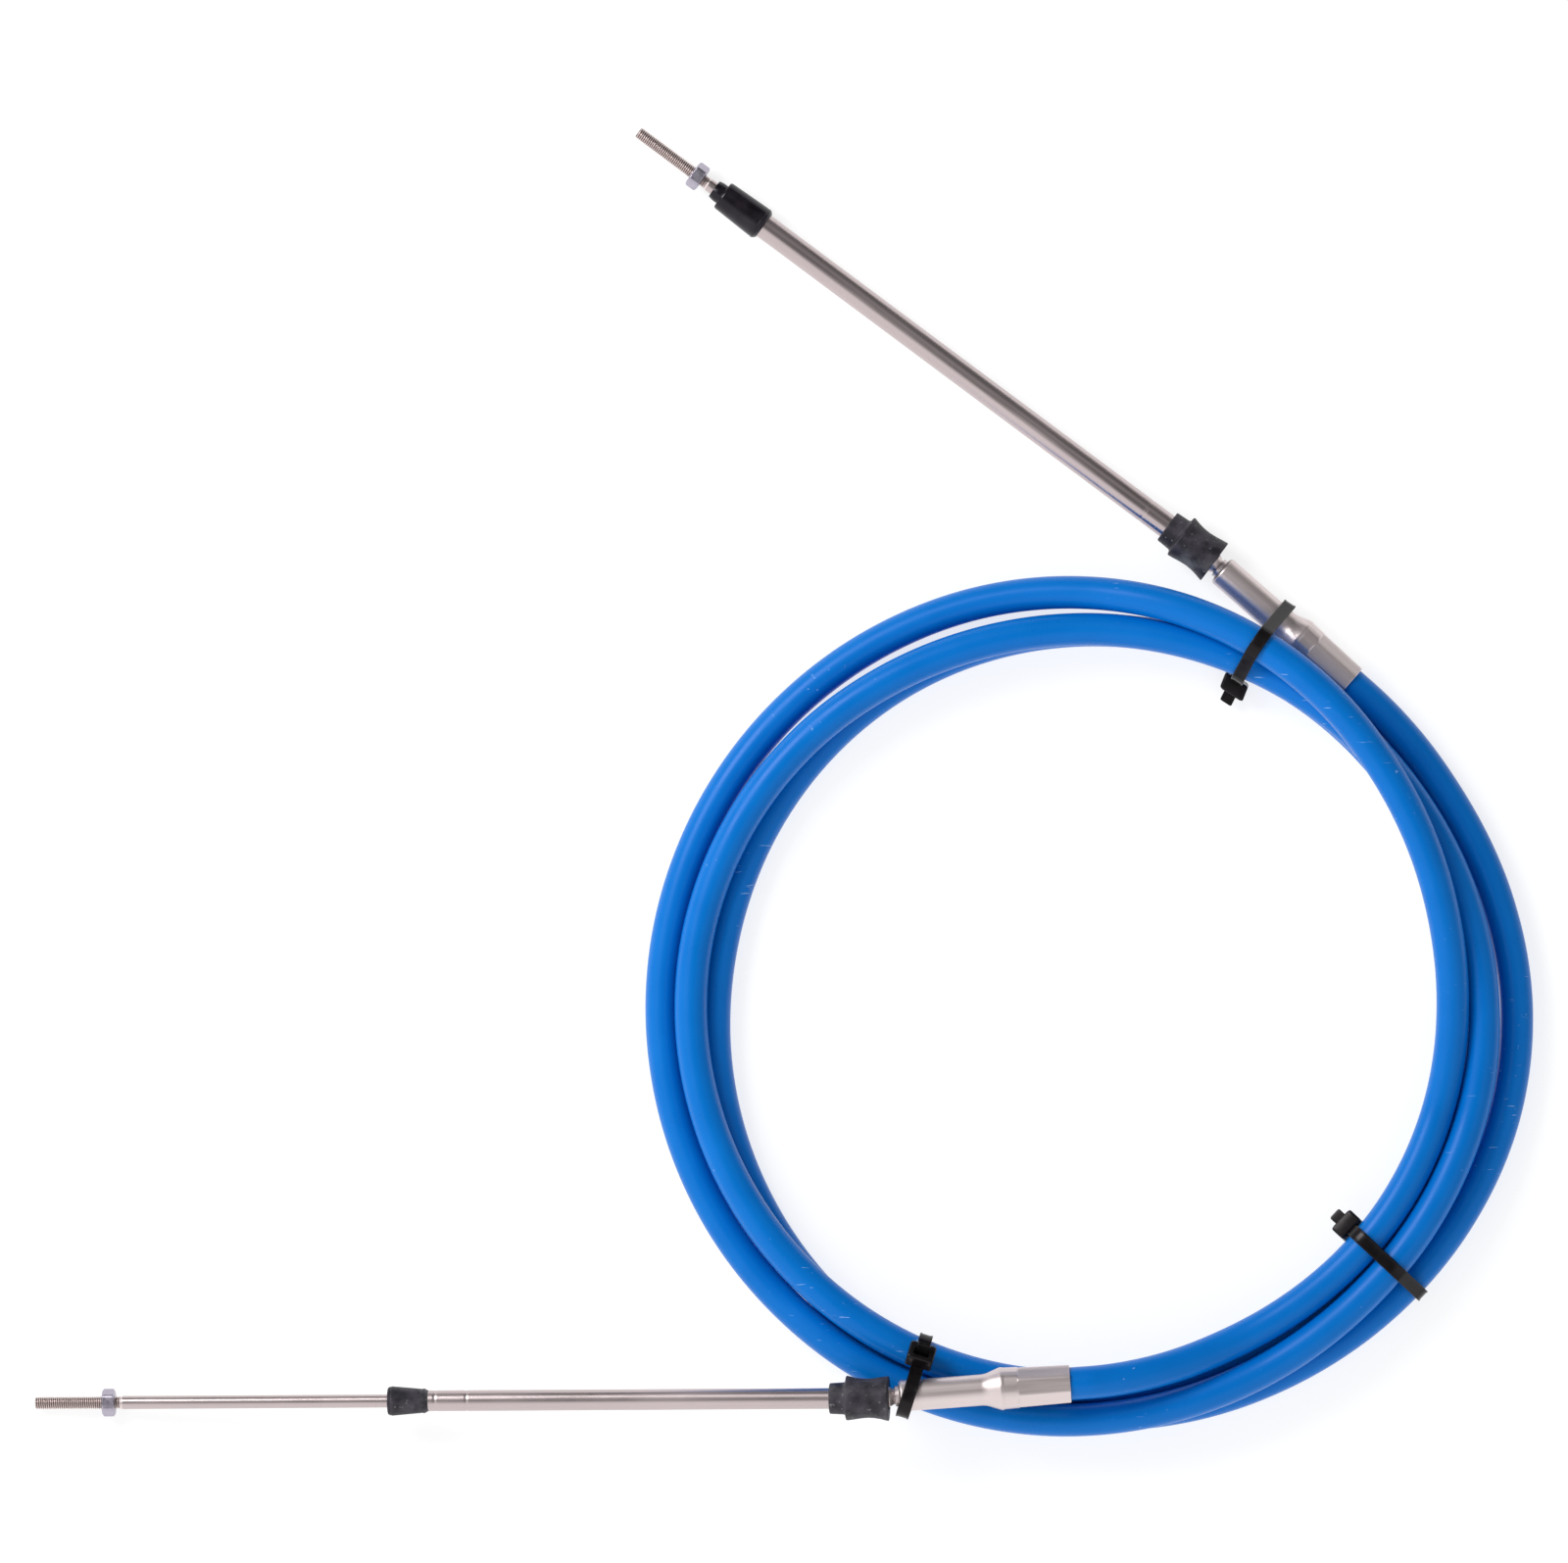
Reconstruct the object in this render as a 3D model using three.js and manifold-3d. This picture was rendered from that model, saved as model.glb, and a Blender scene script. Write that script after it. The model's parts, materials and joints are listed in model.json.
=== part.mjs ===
// Push-pull steering cable for a jet boat. One jacketed cable lies in a loose coil of three and
// a half turns, held by three cable ties. Each end has a crimped hub, a tube that swivels on the
// hub's ball under a rubber boot, and a threaded rod that slides through a wiper with a nut on it.
// Millimetres, +Z up. The cable lies on the plane z = 0, and the origin ends up under the middle.

import * as THREE from "three";
import { mergeVertices } from "three/addons/utils/BufferGeometryUtils.js";
import Module from "manifold-3d";

// Clearances and fineness
const seatGap = 0.3; // between pieces that touch on the real cable
const roundSides = 24; // sides of every turned piece
const arcSteps = 6; // steps of a rounded corner or a ball's quarter

// Jacket and coil
const jacketDiameter = 12.4;
const jacketSides = 10;
const strandGap = 0.35; // between two strands that lie against each other
const coilRadius = 142; // to the centre line of lane 0
const coilStep = 7.5; // degrees of the coil between two sections of the jacket

// The lay of the coil, from the lower hub round to the upper hub. Each row is a station: degrees
// travelled round the coil, lane (cable widths outside lane 0) and layer (cable widths off the floor).
const lay = [
  [270, -0.06, 2.03],
  [280, -0.21, 1.68],
  [292, -0.36, 1.12],
  [306, -0.42, 0.88],
  [326, -0.42, 0.87],
  [346, -0.43, 0.97],
  [361, -0.44, 1.34],
  [374, -0.38, 1.7],
  [387, -0.21, 1.93],
  [400, 0.04, 2.0],
  [413, 0.38, 1.95],
  [426, 0.7, 1.75],
  [439, 0.96, 1.34],
  [452, 1.14, 0.8],
  [465, 1.27, 0.35],
  [478, 1.35, 0.1],
  [492, 1.42, 0.01],
  [512, 1.5, 0.0],
  [532, 1.56, 0.0],
  [552, 1.57, 0.0],
  [570, 1.54, 0.03],
  [585, 1.47, 0.22],
  [598, 1.4, 0.61],
  [611, 1.29, 0.87],
  [624, 1.14, 0.98],
  [638, 0.96, 1.02],
  [654, 0.78, 0.97],
  [672, 0.62, 0.88],
  [690, 0.58, 0.87],
  [708, 0.56, 0.87],
  [723, 0.45, 0.93],
  [738, 0.31, 0.98],
  [753, 0.18, 1.01],
  [771, 0.1, 1.01],
  [789, 0.03, 1.01],
  [807, 0.03, 1.01],
  [825, 0.1, 1.01],
  [841, 0.24, 0.97],
  [857, 0.43, 0.87],
  [873, 0.58, 0.76],
  [889, 0.68, 0.7],
  [903, 0.7, 0.76],
  [917, 0.66, 0.9],
  [931, 0.58, 1.0],
  [945, 0.48, 1.02],
  [958, 0.37, 1.0],
  [971, 0.25, 0.88],
  [984, 0.14, 0.67],
  [997, 0.09, 0.4],
  [1010, 0.08, 0.14],
  [1023, 0.08, 0.01],
  [1050, 0.08, 0.0],
  [1080, 0.08, 0.0],
  [1110, 0.08, 0.0],
  [1140, 0.08, 0.0],
  [1170, 0.02, 0.0],
  [1200, -0.02, 0.0],
  [1230, -0.08, 0.0],
  [1250, -0.06, 0.0],
  [1270, 0.1, 0.0],
  [1290, 0.3, 0.0],
  [1305, 0.48, 0.0],
  [1320, 0.63, 0.0],
  [1335, 0.81, 0.0],
  [1350, 0.93, 0.0],
  [1365, 1.04, 0.0],
  [1380, 1.14, 0.0],
  [1395, 1.28, 0.0],
  [1410, 1.43, 0.0],
  [1425, 1.53, 0.0],
  [1440, 1.48, 0.0],
  [1455, 1.31, 0.0],
  [1470, 1.14, 0.02],
  [1480, 1.12, 0.06],
  [1488.4, 1.126, 0.1],
];

// Cable ties
const strapWidth = 5;
const strapThickness = 1.2;
const strapGap = 0.4; // off the bundle, which bends a little across the strap's width
const strapSteps = 48; // sides of a strap's loop
const tieHead = { width: 10.2, length: 8.2, thickness: 6.2 };
const tailLength = 4.2; // past the head
const tieReach = 34; // half the breadth of bundle that one tie can take
const liftReach = 26; // degrees over which the coil rises onto a strap
const bowReach = 20; // from the middle of a bowed strap to where it is back on its line
const ties = [
  { name: "lower_tie", middle: [-67, -140], turn: 253, headTurn: 129.5, headSlide: 8.5, bow: 0 },
  { name: "side_tie", middle: [107, -92], turn: 317, headTurn: 200, headSlide: 0, bow: 0 },
  { name: "upper_tie", middle: [64, 135], turn: 57, headTurn: 190, headSlide: 0, bow: 2.3 },
];

// Hub, the same at both ends, measured back from the ball's centre
const ballRadius = 4.9;
const neckRadius = 2.9;
const ringRadius = 3.9;
const ringWidth = 1.5;
const ballToHub = 12.1;
const hubRadius = 5.9;
const hubChamfer = 0.8;
const hubPlainLength = 32.5;
const hubTaperLength = 6.2;
const humpRadius = 8.2;
const crimpLength = 26;
const crimpRadius = 7.7;
const crimpFlats = 8;
const crimpFlatRadius = 7.35;
const crimpMargin = 3.2; // round stretch between the hump and the flats
const coreBore = 1.7;
const seatDepth = 23; // of the jacket in the hub
const mouthRun = 8; // straight stretch of jacket outside the hub's mouth

// Swivelling tube and its boot, measured from the ball's centre towards the rod's tip
const cupRadius = 6.3;
const cupBack = 2.6; // how far the cup reaches behind the ball's centre
const cupFront = 6.4;
const cupTaper = 3;
const swivelAngle = 8; // largest angle between tube and hub
const bootWall = 1.7;
const bootBack = 8.3;
const bootBodyFront = 7.8;
const bootFront = 14.1;
const bootWaist = 0.7; // how much the body draws in between its ends

// Rods, wipers and nuts
const rodRadius = 2.5;
const threadRadius = 2.415;
const threadChamfer = 0.5;
const threadLength = 33;
const nutFlats = 9.5;
const nutThickness = 4.7;
const nutSeat = 27.9; // the rod's tip to the nut's middle
const wiperGrip = 8; // how far the tube goes into its wiper

// What differs between the two ends. Headings are degrees about +Z, and pitch is up from level.
const ends = [
  {
    name: "lower",
    station: lay[0],
    hubHeading: 184.1,
    sleeveHeading: 180.45,
    sleevePitch: -5.25,
    tubeRadius: 3.95,
    tubeLength: 174,
    bootRadius: 8.35,
    collarRadius: 5.8,
    wiper: { length: 14.6, backRadius: 4.7, frontRadius: 5.6, lipLength: 0.8, lipRadius: 5.3 },
    rodReach: 315.3,
    rodLength: 205,
  },
  {
    name: "upper",
    station: lay[lay.length - 1],
    hubHeading: 138.6,
    sleeveHeading: 143.3,
    sleevePitch: -0.6,
    tubeRadius: 4.75,
    tubeLength: 212,
    bootRadius: 8.6,
    collarRadius: 6.4,
    wiper: { length: 19.6, backRadius: 6.45, frontRadius: 5.8, lipLength: 3.9, lipRadius: 3.95 },
    rodReach: 263.2,
    rodLength: 248,
  },
];

const steel = { color: 0xb9b2ae, roughness: 0.32, metalness: 1 };
const zinc = { color: 0xc4c6cc, roughness: 0.35, metalness: 1 };
const blueJacket = { color: 0x0b63c9, roughness: 0.45, metalness: 0 };
const blackRubber = { color: 0x2b2a2d, roughness: 0.7, metalness: 0 };
const blackNylon = { color: 0x1c1b1c, roughness: 0.5, metalness: 0 };

const jacketRadius = jacketDiameter / 2;
const strandPitch = jacketDiameter + strandGap;
const strapLift = strapThickness + strapGap;
const hubLength = hubPlainLength + hubTaperLength + crimpLength;
const up = new THREE.Vector3(0, 0, 1);
const wasm = await Module();
wasm.setup();

// Solids

function solidOf(geometry) {
  const bare = geometry.clone();
  bare.deleteAttribute("normal");
  bare.deleteAttribute("uv");
  const merged = mergeVertices(bare, 1e-4);
  return new wasm.Manifold(
    new wasm.Mesh({
      numProp: 3,
      vertProperties: merged.attributes.position.array,
      triVerts: new Uint32Array(merged.index.array),
    }),
  );
}

function geometryOf(solid) {
  const mesh = solid.getMesh();
  const geometry = new THREE.BufferGeometry();
  geometry.setAttribute("position", new THREE.BufferAttribute(mesh.vertProperties, 3));
  geometry.setIndex(new THREE.BufferAttribute(mesh.triVerts, 1));
  const faceted = geometry.toNonIndexed();
  faceted.computeVertexNormals();
  return faceted;
}

// A solid turned about +X. Its profile is [along, radius] pairs, front to back outside.
function turned(profile) {
  const outline = profile.map(([along, radius]) => new THREE.Vector2(radius, along));
  return new THREE.LatheGeometry(outline, roundSides).rotateZ(-Math.PI / 2);
}

// A prism along +X from its outline in the YZ plane.
function prism(outline, hole, length) {
  const shape = new THREE.Shape(outline);
  if (hole) shape.holes.push(new THREE.Path(hole));
  const geometry = new THREE.ExtrudeGeometry(shape, { depth: length, bevelEnabled: false });
  return geometry.translate(0, 0, -length / 2).rotateY(Math.PI / 2).rotateX(Math.PI / 2);
}

function polygon(sides, radius) {
  return Array.from({ length: sides }, (_, i) => {
    const turn = (2 * Math.PI * i) / sides;
    return new THREE.Vector2(radius * Math.cos(turn), radius * Math.sin(turn));
  });
}

function named(name, geometry, finish) {
  const mesh = new THREE.Mesh(geometry, new THREE.MeshStandardMaterial(finish));
  mesh.name = name;
  return mesh;
}

function direction(heading, pitch = 0) {
  const turn = THREE.MathUtils.degToRad(heading);
  const lean = THREE.MathUtils.degToRad(pitch);
  return new THREE.Vector3(
    Math.cos(turn) * Math.cos(lean),
    Math.sin(turn) * Math.cos(lean),
    Math.sin(lean),
  );
}

// Turns a group so that its +X points along a heading and a pitch.
function aim(group, heading, pitch = 0) {
  const turn = new THREE.Quaternion().setFromAxisAngle(up, THREE.MathUtils.degToRad(heading));
  const side = new THREE.Vector3(0, 1, 0);
  const lean = new THREE.Quaternion().setFromAxisAngle(side, -THREE.MathUtils.degToRad(pitch));
  group.quaternion.copy(turn.multiply(lean));
}

// The cable's route

function slopeAt(index, column) {
  const before = lay[Math.max(index - 1, 0)];
  const after = lay[Math.min(index + 1, lay.length - 1)];
  return (after[column] - before[column]) / (after[0] - before[0]);
}

// A lane or a layer between two stations, on a smooth curve through all of them.
function layValue(angle, column) {
  const found = lay.findIndex((station) => station[0] >= angle);
  const index = Math.max(found, 1) - 1;
  const [from, to] = [lay[index], lay[index + 1]];
  const span = to[0] - from[0];
  const t = (angle - from[0]) / span;
  const rise = t * t * (3 - 2 * t);
  const leave = slopeAt(index, column) * span * t * (1 - t) ** 2;
  const arrive = slopeAt(index + 1, column) * span * t * t * (1 - t);
  return from[column] * (1 - rise) + to[column] * rise + leave - arrive;
}

// How far the coil stands off the floor at an angle, because it lies on the ties' straps.
function liftAt(angle) {
  const lifts = ties.map(({ middle }) => {
    const tieAngle = THREE.MathUtils.radToDeg(Math.atan2(middle[1], middle[0]));
    const away = Math.abs(THREE.MathUtils.euclideanModulo(angle - tieAngle + 180, 360) - 180);
    return strapLift * THREE.MathUtils.smoothstep(liftReach - away, 0, liftReach / 2);
  });
  return Math.max(...lifts);
}

function coilPoint(angle) {
  const radius = coilRadius + strandPitch * layValue(angle, 1);
  const height = jacketRadius + strandPitch * layValue(angle, 2) + liftAt(angle);
  return direction(angle).multiplyScalar(radius).setZ(height);
}

function cableRoute() {
  const [first, last] = [lay[0][0], lay[lay.length - 1][0]];
  const count = Math.round((last - first) / coilStep);
  const points = [];
  for (let i = 0; i <= count; i++) points.push(coilPoint(first + ((last - first) * i) / count));
  const [lower, upper] = ends.map(({ hubHeading }) => direction(hubHeading));
  for (const run of [mouthRun / 2, mouthRun, mouthRun + seatDepth / 2, mouthRun + seatDepth]) {
    points.unshift(coilPoint(first).addScaledVector(lower, run));
    points.push(coilPoint(last).addScaledVector(upper, run));
  }
  return points;
}

function makeJacket(points) {
  const route = new THREE.CatmullRomCurve3(points);
  const section = new THREE.Shape(polygon(jacketSides, jacketRadius));
  const settings = { extrudePath: route, steps: points.length - 1, bevelEnabled: false };
  return named("jacket", new THREE.ExtrudeGeometry(section, settings), blueJacket);
}

// Hub

function makeHub(name) {
  const mouth = -ballToHub - hubLength;
  const crimpFront = mouth + crimpLength;
  const shoulder = -ballToHub - hubPlainLength;
  const ringMiddle = -(bootBack + ballToHub) / 2;
  const seatRadius = jacketRadius + seatGap;
  const body = solidOf(
    turned([
      [mouth, seatRadius],
      [mouth + seatDepth + seatGap, seatRadius],
      [mouth + seatDepth + seatGap, coreBore],
      [Math.sqrt(ballRadius ** 2 - coreBore ** 2), coreBore],
      ...ballProfile(),
      [ringMiddle + ringWidth / 2, neckRadius],
      [ringMiddle + ringWidth / 2, ringRadius],
      [ringMiddle - ringWidth / 2, ringRadius],
      [ringMiddle - ringWidth / 2, neckRadius],
      [-ballToHub, neckRadius],
      [-ballToHub, hubRadius - hubChamfer],
      [-ballToHub - hubChamfer, hubRadius],
      [shoulder, hubRadius],
      [crimpFront, humpRadius],
      [crimpFront - crimpMargin, crimpRadius],
      [mouth, crimpRadius],
      [mouth, seatRadius],
    ].reverse()),
  );
  const hub = cutFlats(body, mouth, crimpFront - crimpMargin);
  return named(name, geometryOf(hub), steel);
}

// The ball's outline from its front opening over the top and back to the neck.
function ballProfile() {
  const front = Math.asin(coreBore / ballRadius);
  const back = Math.PI - Math.asin(neckRadius / ballRadius);
  const steps = 2 * arcSteps;
  return Array.from({ length: steps }, (_, i) => {
    const turn = front + ((back - front) * (i + 1)) / steps;
    return [ballRadius * Math.cos(turn), ballRadius * Math.sin(turn)];
  });
}

// The long flats that the crimping dies leave between two places along the hub.
function cutFlats(body, from, to) {
  const thickness = humpRadius;
  const slab = new THREE.BoxGeometry(to - from, 2 * humpRadius, thickness);
  slab.translate((from + to) / 2, 0, crimpFlatRadius + thickness / 2);
  let cut = body;
  for (let i = 0; i < crimpFlats; i++) {
    cut = cut.subtract(solidOf(slab));
    slab.rotateX((2 * Math.PI) / crimpFlats);
  }
  return cut;
}

// Swivelling tube, boot, wiper, rod and nut

function makeTube(end) {
  const bore = rodRadius + seatGap;
  const cavity = ballRadius + seatGap;
  const back = Math.PI - Math.acos(cupBack / cavity);
  const front = Math.asin(bore / cavity);
  const hollow = Array.from({ length: 2 * arcSteps + 1 }, (_, i) => {
    const turn = front + ((back - front) * i) / (2 * arcSteps);
    return [cavity * Math.cos(turn), cavity * Math.sin(turn)];
  });
  return turned([
    ...hollow,
    [-cupBack, cupRadius],
    [cupFront, cupRadius],
    [cupFront + cupTaper, end.tubeRadius],
    [end.tubeLength, end.tubeRadius],
    [end.tubeLength, bore],
    hollow[0],
  ]);
}

function makeBoot(end) {
  const swing = bootBack * Math.sin(THREE.MathUtils.degToRad(swivelAngle));
  const hole = neckRadius + swing + seatGap;
  const grip = end.tubeRadius + seatGap;
  const inside = cupRadius + seatGap;
  const middle = (bootBodyFront - bootBack) / 2;
  return turned([
    [-bootBack, hole],
    [-bootBack, end.bootRadius],
    [middle, end.bootRadius - bootWaist],
    [bootBodyFront, end.bootRadius],
    [bootBodyFront, end.collarRadius],
    [bootFront, end.collarRadius],
    [bootFront, grip],
    [cupFront + cupTaper + seatGap, grip],
    [cupFront + seatGap, inside],
    [-bootBack + bootWall, inside],
    [-bootBack + bootWall, hole],
    [-bootBack, hole],
  ]);
}

function makeWiper(end) {
  const { length, backRadius, frontRadius, lipLength, lipRadius } = end.wiper;
  const back = end.tubeLength - wiperGrip;
  const grip = end.tubeRadius + seatGap;
  const bore = rodRadius + seatGap;
  return turned([
    [back, grip],
    [back, backRadius],
    [back + length, frontRadius],
    [back + length, lipRadius],
    [back + length + lipLength, lipRadius],
    [back + length + lipLength, bore],
    [end.tubeLength + seatGap, bore],
    [end.tubeLength + seatGap, grip],
    [back, grip],
  ]);
}

function makeRod(end) {
  const back = end.rodReach - end.rodLength;
  const threadStart = end.rodReach - threadLength;
  return turned([
    [back, 0],
    [back, rodRadius],
    [threadStart, rodRadius],
    [threadStart + (rodRadius - threadRadius), threadRadius],
    [end.rodReach - threadChamfer, threadRadius],
    [end.rodReach, threadRadius - threadChamfer],
    [end.rodReach, 0],
  ]);
}

function makeNut(end) {
  const corner = nutFlats / Math.sqrt(3);
  const chamfer = (corner - nutFlats / 2) / 2;
  const hole = polygon(roundSides, threadRadius + seatGap);
  const blank = solidOf(prism(polygon(6, corner), hole, nutThickness));
  const half = nutThickness / 2;
  const rim = nutFlats / 2;
  const rounding = solidOf(
    turned([
      [-half, 0],
      [-half, rim],
      [-half + chamfer, corner],
      [half - chamfer, corner],
      [half, rim],
      [half, 0],
    ]),
  );
  return geometryOf(blank.intersect(rounding)).translate(end.rodReach - nutSeat, 0, 0);
}

// The middle of a hub's mouth, where the jacket goes in.
function mouthOf(end) {
  return coilPoint(end.station[0]).addScaledVector(direction(end.hubHeading), mouthRun);
}

function makeEnd(end) {
  const axis = direction(end.hubHeading);
  const ball = mouthOf(end).addScaledVector(axis, hubLength + ballToHub);
  const fixed = new THREE.Group();
  fixed.add(makeHub(end.name + "_hub"));
  aim(fixed, end.hubHeading);
  fixed.position.copy(ball);
  const sleeve = new THREE.Group();
  sleeve.add(named(end.name + "_tube", makeTube(end), steel));
  sleeve.add(named(end.name + "_boot", makeBoot(end), blackRubber));
  sleeve.add(named(end.name + "_wiper", makeWiper(end), blackRubber));
  sleeve.add(named(end.name + "_rod", makeRod(end), steel));
  sleeve.add(named(end.name + "_nut", makeNut(end), zinc));
  aim(sleeve, end.sleeveHeading, end.sleevePitch);
  sleeve.position.copy(ball);
  return [fixed, sleeve];
}

// Cable ties

// How far a bowed strap lies off its straight line at a place across the bundle.
function bowAt(tie, across) {
  return tie.bow * Math.max(1 - (across / bowReach) ** 2, 0);
}

// Where a line of points crosses a strap: circles [across, height, radius] at its two edges.
function crossings(points, radius, tie) {
  const across = direction(tie.turn);
  const normal = direction(tie.turn + 90);
  const middle = new THREE.Vector3(...tie.middle, 0);
  const aside = (place) => place.dot(normal) - bowAt(tie, place.dot(across));
  const circles = [];
  for (let i = 1; i < points.length; i++) {
    const from = points[i - 1].clone().sub(middle);
    const step = points[i].clone().sub(points[i - 1]);
    const share = aside(from) / (aside(from) - aside(from.clone().add(step)));
    const place = from.addScaledVector(step, share);
    const offset = place.dot(across);
    if (share < 0 || share >= 1 || Math.abs(offset) > tieReach) continue;
    const slant = step.length() / Math.abs(step.dot(normal));
    const drift = ((strapWidth / 2) * step.dot(across)) / step.dot(normal);
    circles.push([offset - drift, place.z, radius * slant], [offset + drift, place.z, radius * slant]);
  }
  return circles;
}

// The circle of a bundle that reaches furthest in a direction.
function outermost(circles, turn) {
  const reach = ([across, height, radius]) =>
    across * Math.cos(turn) + height * Math.sin(turn) + radius;
  return circles.reduce((best, circle) => (reach(circle) > reach(best) ? circle : best));
}

function pointOn([across, height, radius], turn, clear) {
  return new THREE.Vector2(
    across + (radius + clear) * Math.cos(turn),
    height + (radius + clear) * Math.sin(turn),
  );
}

// The taut outline round a bundle, a given distance off it.
function taut(circles, clear) {
  return Array.from({ length: strapSteps }, (_, i) => {
    const turn = (2 * Math.PI * (i + 0.5)) / strapSteps;
    return pointOn(outermost(circles, turn), turn, clear);
  });
}

// Where a head stands: on the loop, slid back along the strap by a tie's headSlide.
function headSeat(tie, circles) {
  const turn = THREE.MathUtils.degToRad(tie.headTurn);
  const back = new THREE.Vector2(Math.sin(turn), -Math.cos(turn));
  return pointOn(outermost(circles, turn), turn, strapGap).addScaledVector(back, tie.headSlide);
}

function makeTie(tie, lines) {
  const circles = lines.flatMap(({ points, radius }) => crossings(points, radius, tie));
  const outside = taut(circles, strapGap + strapThickness);
  const inside = taut(circles, strapGap);
  const loop = solidOf(prism(outside, inside, strapWidth));
  const turn = THREE.MathUtils.degToRad(tie.headTurn);
  const seat = headSeat(tie, circles);
  const head = new THREE.BoxGeometry(tieHead.width, tieHead.thickness, tieHead.length);
  head.translate(0, tieHead.thickness / 2, 0);
  const tail = new THREE.BoxGeometry(strapWidth, tieHead.thickness + tailLength, strapThickness);
  tail.translate(0, (tieHead.thickness + tailLength) / 2, 0);
  const placed = [head, tail].map((block) =>
    solidOf(block.rotateX(turn).translate(0, seat.x, seat.y)),
  );
  const whole = placed.reduce((all, next) => all.add(next), loop);
  const bowed = whole.warp((vertex) => {
    vertex[0] -= bowAt(tie, vertex[1]);
  });
  const mesh = named(tie.name, geometryOf(bowed), blackNylon);
  mesh.position.set(...tie.middle, 0);
  aim(mesh, tie.turn - 90);
  return mesh;
}

function hubLine(end) {
  const front = mouthOf(end).addScaledVector(direction(end.hubHeading), hubLength);
  return [mouthOf(end), front];
}

function makeCable() {
  const cable = new THREE.Group();
  const points = cableRoute();
  cable.add(makeJacket(points));
  for (const end of ends) cable.add(...makeEnd(end));
  const lines = [
    { points, radius: jacketRadius },
    ...ends.map((end) => ({ points: hubLine(end), radius: hubRadius })),
  ];
  for (const tie of ties) cable.add(makeTie(tie, lines));
  const box = new THREE.Box3().setFromObject(cable, true);
  const middle = box.getCenter(new THREE.Vector3());
  cable.position.set(-middle.x, -middle.y, -box.min.z);
  return cable;
}

const model = new THREE.Group();
model.add(makeCable());

export default model;
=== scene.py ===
# Looks of the boat steering cable: the jacket with its scuffs, the crimped hubs, the threaded
# rods, the rubber boots and wipers, the nuts and the cable ties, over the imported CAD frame.
# Metres, +Z up, in the CAD's frame. MM turns the CAD's millimetres into metres.

import json
import math

import bmesh
import bpy
from mathutils import Matrix, Vector

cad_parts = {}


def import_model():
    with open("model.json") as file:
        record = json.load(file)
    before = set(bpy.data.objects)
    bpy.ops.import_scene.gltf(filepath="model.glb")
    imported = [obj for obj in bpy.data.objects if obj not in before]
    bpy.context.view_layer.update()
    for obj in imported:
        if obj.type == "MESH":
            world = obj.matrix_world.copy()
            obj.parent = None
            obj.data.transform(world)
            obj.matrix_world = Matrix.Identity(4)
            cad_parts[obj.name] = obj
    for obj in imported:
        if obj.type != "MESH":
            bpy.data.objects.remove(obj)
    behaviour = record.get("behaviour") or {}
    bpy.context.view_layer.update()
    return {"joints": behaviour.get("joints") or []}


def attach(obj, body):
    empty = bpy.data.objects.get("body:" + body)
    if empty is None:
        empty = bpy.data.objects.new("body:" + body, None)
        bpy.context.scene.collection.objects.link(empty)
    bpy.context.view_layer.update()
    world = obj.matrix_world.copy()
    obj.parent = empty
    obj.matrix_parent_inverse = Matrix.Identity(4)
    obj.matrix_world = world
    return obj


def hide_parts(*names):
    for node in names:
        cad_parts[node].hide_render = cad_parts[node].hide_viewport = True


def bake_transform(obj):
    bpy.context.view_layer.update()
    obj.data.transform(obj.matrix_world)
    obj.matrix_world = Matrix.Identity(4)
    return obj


MM = 0.001

# Edges' roundings are counted in this unit
ROUND = 0.1 * MM

# Fineness
JACKET_SIDES = 44
JACKET_STEP = 0.8  # degrees of the coil
ROUND_SIDES = 96
CORNER_STEPS = 4
BALL_STEPS = 16
CHAMFER_STEPS = 8

# Jacket and coil, as in the CAD
JACKET_RADIUS = 6.2 * MM
STRAND_PITCH = 12.75 * MM
COIL_RADIUS = 142 * MM
SEAT_GAP = 0.3 * MM
SEAT_DEPTH = 23 * MM
MOUTH_RUN = 8 * MM

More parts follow.
